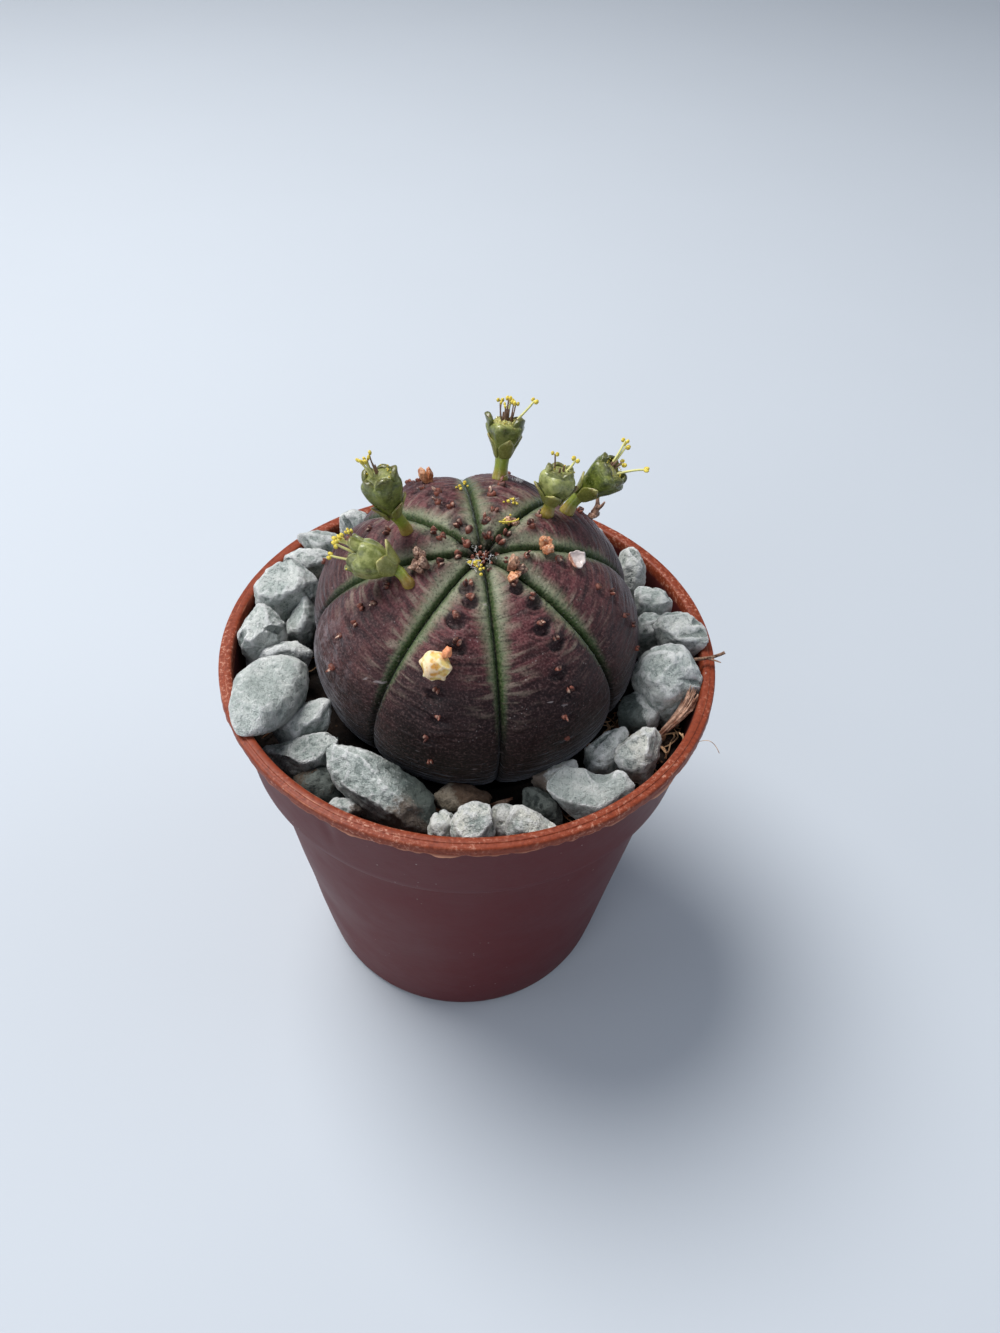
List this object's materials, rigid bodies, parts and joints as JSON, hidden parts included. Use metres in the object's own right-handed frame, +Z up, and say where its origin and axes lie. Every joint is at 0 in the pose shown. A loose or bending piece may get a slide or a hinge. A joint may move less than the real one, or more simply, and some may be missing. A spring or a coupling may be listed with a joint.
{
  "type": "potted succulent",
  "caption": "Round ribbed succulent in flower, in a small tapered plastic pot with a rolled lip, its soil dressed with pale grey gravel.",
  "frame": {"origin": "on the ground under the middle of the pot's standing ring", "axes": "+Z up; the side that the picture looks at faces -Y"},
  "size_m": [0.0559, 0.055, 0.0742],
  "materials": {
    "pot_plastic": "terracotta-coloured plastic, semi-matt, glossier on the lip",
    "soil": "dark damp potting soil with fibres",
    "plant_skin": "fine velvety skin, purple-brown with green grooves",
    "bloom": "waxy yellow-green",
    "dried_bud": "dry and papery, yellow with an orange tip",
    "seed_husk": "thin pearly scale",
    "dry_wood": "dry, frayed",
    "gravel_pale": "chalky and pitted",
    "gravel_dark": "dull, smoother",
    "gravel_brown": "chalky, stained by soil"
  },
  "bodies": {
    "root": {"pot": "pot_plastic", "soil": "soil", "plant": "plant_skin", "cyathium_1": "bloom", "cyathium_2": "bloom", "cyathium_3": "bloom", "cyathium_4": "bloom", "cyathium_5": "bloom", "dried_bud": "dried_bud", "seed_husk": "seed_husk", "bark_sliver": "dry_wood", "bark_chip": "dry_wood", "twig": "dry_wood", "stone_01": "gravel_pale", "stone_02": "gravel_pale", "stone_03": "gravel_pale", "stone_04": "gravel_pale", "stone_05": "gravel_pale", "stone_06": "gravel_pale", "stone_07": "gravel_pale", "stone_08": "gravel_pale", "stone_09": "gravel_pale", "stone_10": "gravel_pale", "stone_11": "gravel_dark", "stone_12": "gravel_brown", "stone_13": "gravel_pale", "stone_14": "gravel_brown", "stone_15": "gravel_pale", "stone_16": "gravel_pale", "stone_17": "gravel_pale", "stone_18": "gravel_pale", "stone_19": "gravel_dark", "stone_20": "gravel_brown", "stone_21": "gravel_pale", "stone_22": "gravel_pale", "stone_23": "gravel_pale", "stone_24": "gravel_dark", "stone_25": "gravel_pale", "stone_26": "gravel_pale", "stone_27": "gravel_pale", "stone_28": "gravel_pale", "stone_29": "gravel_pale", "stone_30": "gravel_pale", "stone_31": "gravel_pale", "stone_32": "gravel_dark", "stone_33": "gravel_pale", "stone_34": "gravel_pale", "stone_35": "gravel_pale", "stone_36": "gravel_brown"}
  },
  "joints": []
}
